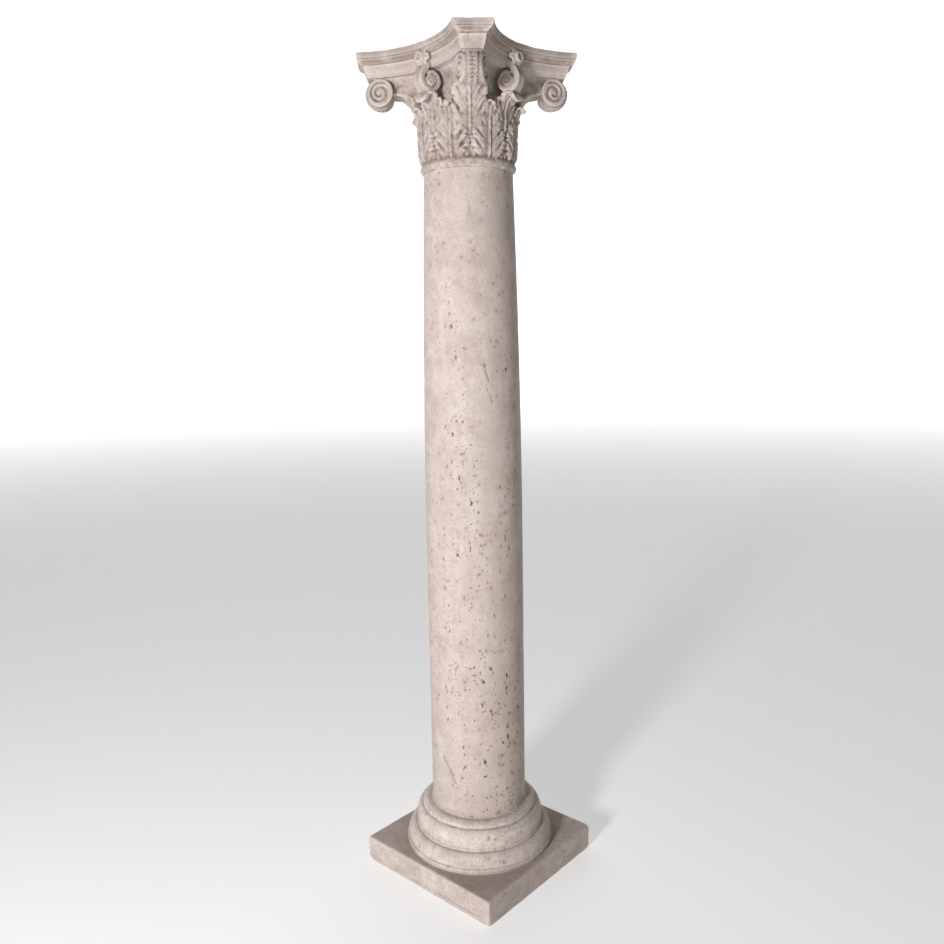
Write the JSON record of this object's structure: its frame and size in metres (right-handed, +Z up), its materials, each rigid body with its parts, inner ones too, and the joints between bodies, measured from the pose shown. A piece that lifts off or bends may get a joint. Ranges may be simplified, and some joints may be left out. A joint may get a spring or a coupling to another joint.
{
  "type": "corinthian column",
  "caption": "Free-standing column with a plain tapering shaft, a moulded round base on a square plinth, and a Corinthian capital of leaf rows, corner volutes and a hollow-sided abacus.",
  "frame": {"origin": "centre of the plinth's underside, on the floor", "axes": "+Z up along the column's axis; X and Y square to the plinth's sides"},
  "size_m": [0.445, 0.445, 2.134],
  "materials": {
    "base_stone": "matte cast stone with brown wash in the recesses",
    "shaft_stone": "matte cast stone with dark pits and pale streaks",
    "capital_stone": "matte cast stone with brown wash in the carving"
  },
  "bodies": {
    "root": {"base": "base_stone", "shaft": "shaft_stone", "capital": "capital_stone"}
  },
  "joints": []
}
